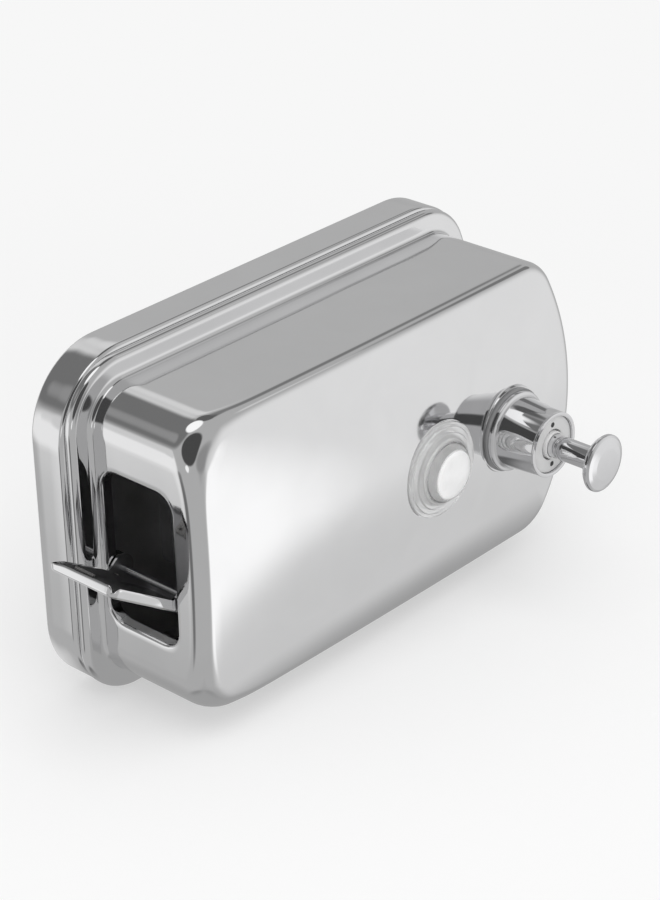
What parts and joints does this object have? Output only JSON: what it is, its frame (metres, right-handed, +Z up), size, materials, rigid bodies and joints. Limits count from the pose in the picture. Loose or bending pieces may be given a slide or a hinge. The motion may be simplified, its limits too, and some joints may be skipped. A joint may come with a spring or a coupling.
{
  "type": "wall mounted soap dispenser",
  "caption": "Wall mounted steel liquid soap dispenser: pressed tank with a sprung filler flap, round sight window, push pump with spout, and a hanging wall bracket.",
  "frame": {"origin": "centre of the wall bracket's screw pattern, on the wall", "axes": "+Z up, +Y into the wall, so the pump's knob points along -Y; +X to the right seen from the front"},
  "size_m": [0.12, 0.1082, 0.2145],
  "materials": {
    "polished_steel": "mirror polished stainless steel",
    "plain_steel": "plain stainless steel sheet",
    "chrome_plate": "chrome plated",
    "spring_steel": "bright spring wire",
    "grey_rubber": "soft grey gasket rubber",
    "black_rubber": "black seal rubber",
    "clear_plastic": "clear moulded plastic",
    "light_plastic": "light grey moulded plastic",
    "white_plastic": "natural white plastic"
  },
  "bodies": {
    "tank": {"front_shell": "polished_steel", "back_tray": "polished_steel", "seam_gasket": "black_rubber", "wall_bracket": "plain_steel", "hanger_channel": "plain_steel", "hinge_pin": "spring_steel", "lid_spring": "spring_steel", "window_lens": "clear_plastic", "window_gasket": "grey_rubber", "window_nut": "white_plastic", "pump_gasket": "grey_rubber", "pump_housing": "chrome_plate", "pump_cap": "light_plastic", "rod_bushing": "light_plastic", "rod_seal": "black_rubber", "return_spring": "spring_steel", "pump_barrel": "white_plastic", "barrel_gasket": "grey_rubber", "spout": "chrome_plate", "valve_body": "white_plastic", "pickup_tube": "clear_plastic", "tube_strainer": "white_plastic"},
    "flap": {"filler_lid": "polished_steel", "lid_latch": "spring_steel"},
    "plunger": {"plunger_rod": "chrome_plate", "knob": "chrome_plate", "piston": "white_plastic", "piston_seal": "black_rubber", "outlet_spring": "spring_steel"},
    "outlet_valve": {"outlet_ball": "spring_steel"},
    "inlet_valve": {"inlet_ball": "spring_steel"}
  },
  "joints": [
    {"name": "flap_hinge", "type": "hinge", "parent": "tank", "child": "flap", "pos_m": [-0.0101, -0.0359, 0.084], "axis": [0, -1, 0], "range_deg": [-57, 15], "stiffness_Nm_per_rad": 0.03, "deforming": ["lid_spring"]},
    {"name": "pump_push", "type": "slide", "parent": "tank", "child": "plunger", "axis": [0, 1, 0], "range_m": [0, 0.014], "stiffness_N_per_m": 400, "deforming": ["return_spring"]},
    {"name": "outlet_lift", "type": "slide", "parent": "plunger", "child": "outlet_valve", "axis": [0, -1, 0], "range_m": [0, 0.001], "stiffness_N_per_m": 20, "deforming": ["outlet_spring"]},
    {"name": "inlet_lift", "type": "slide", "parent": "tank", "child": "inlet_valve", "axis": [0, 0, 1], "range_m": [0, 0.0015]}
  ]
}
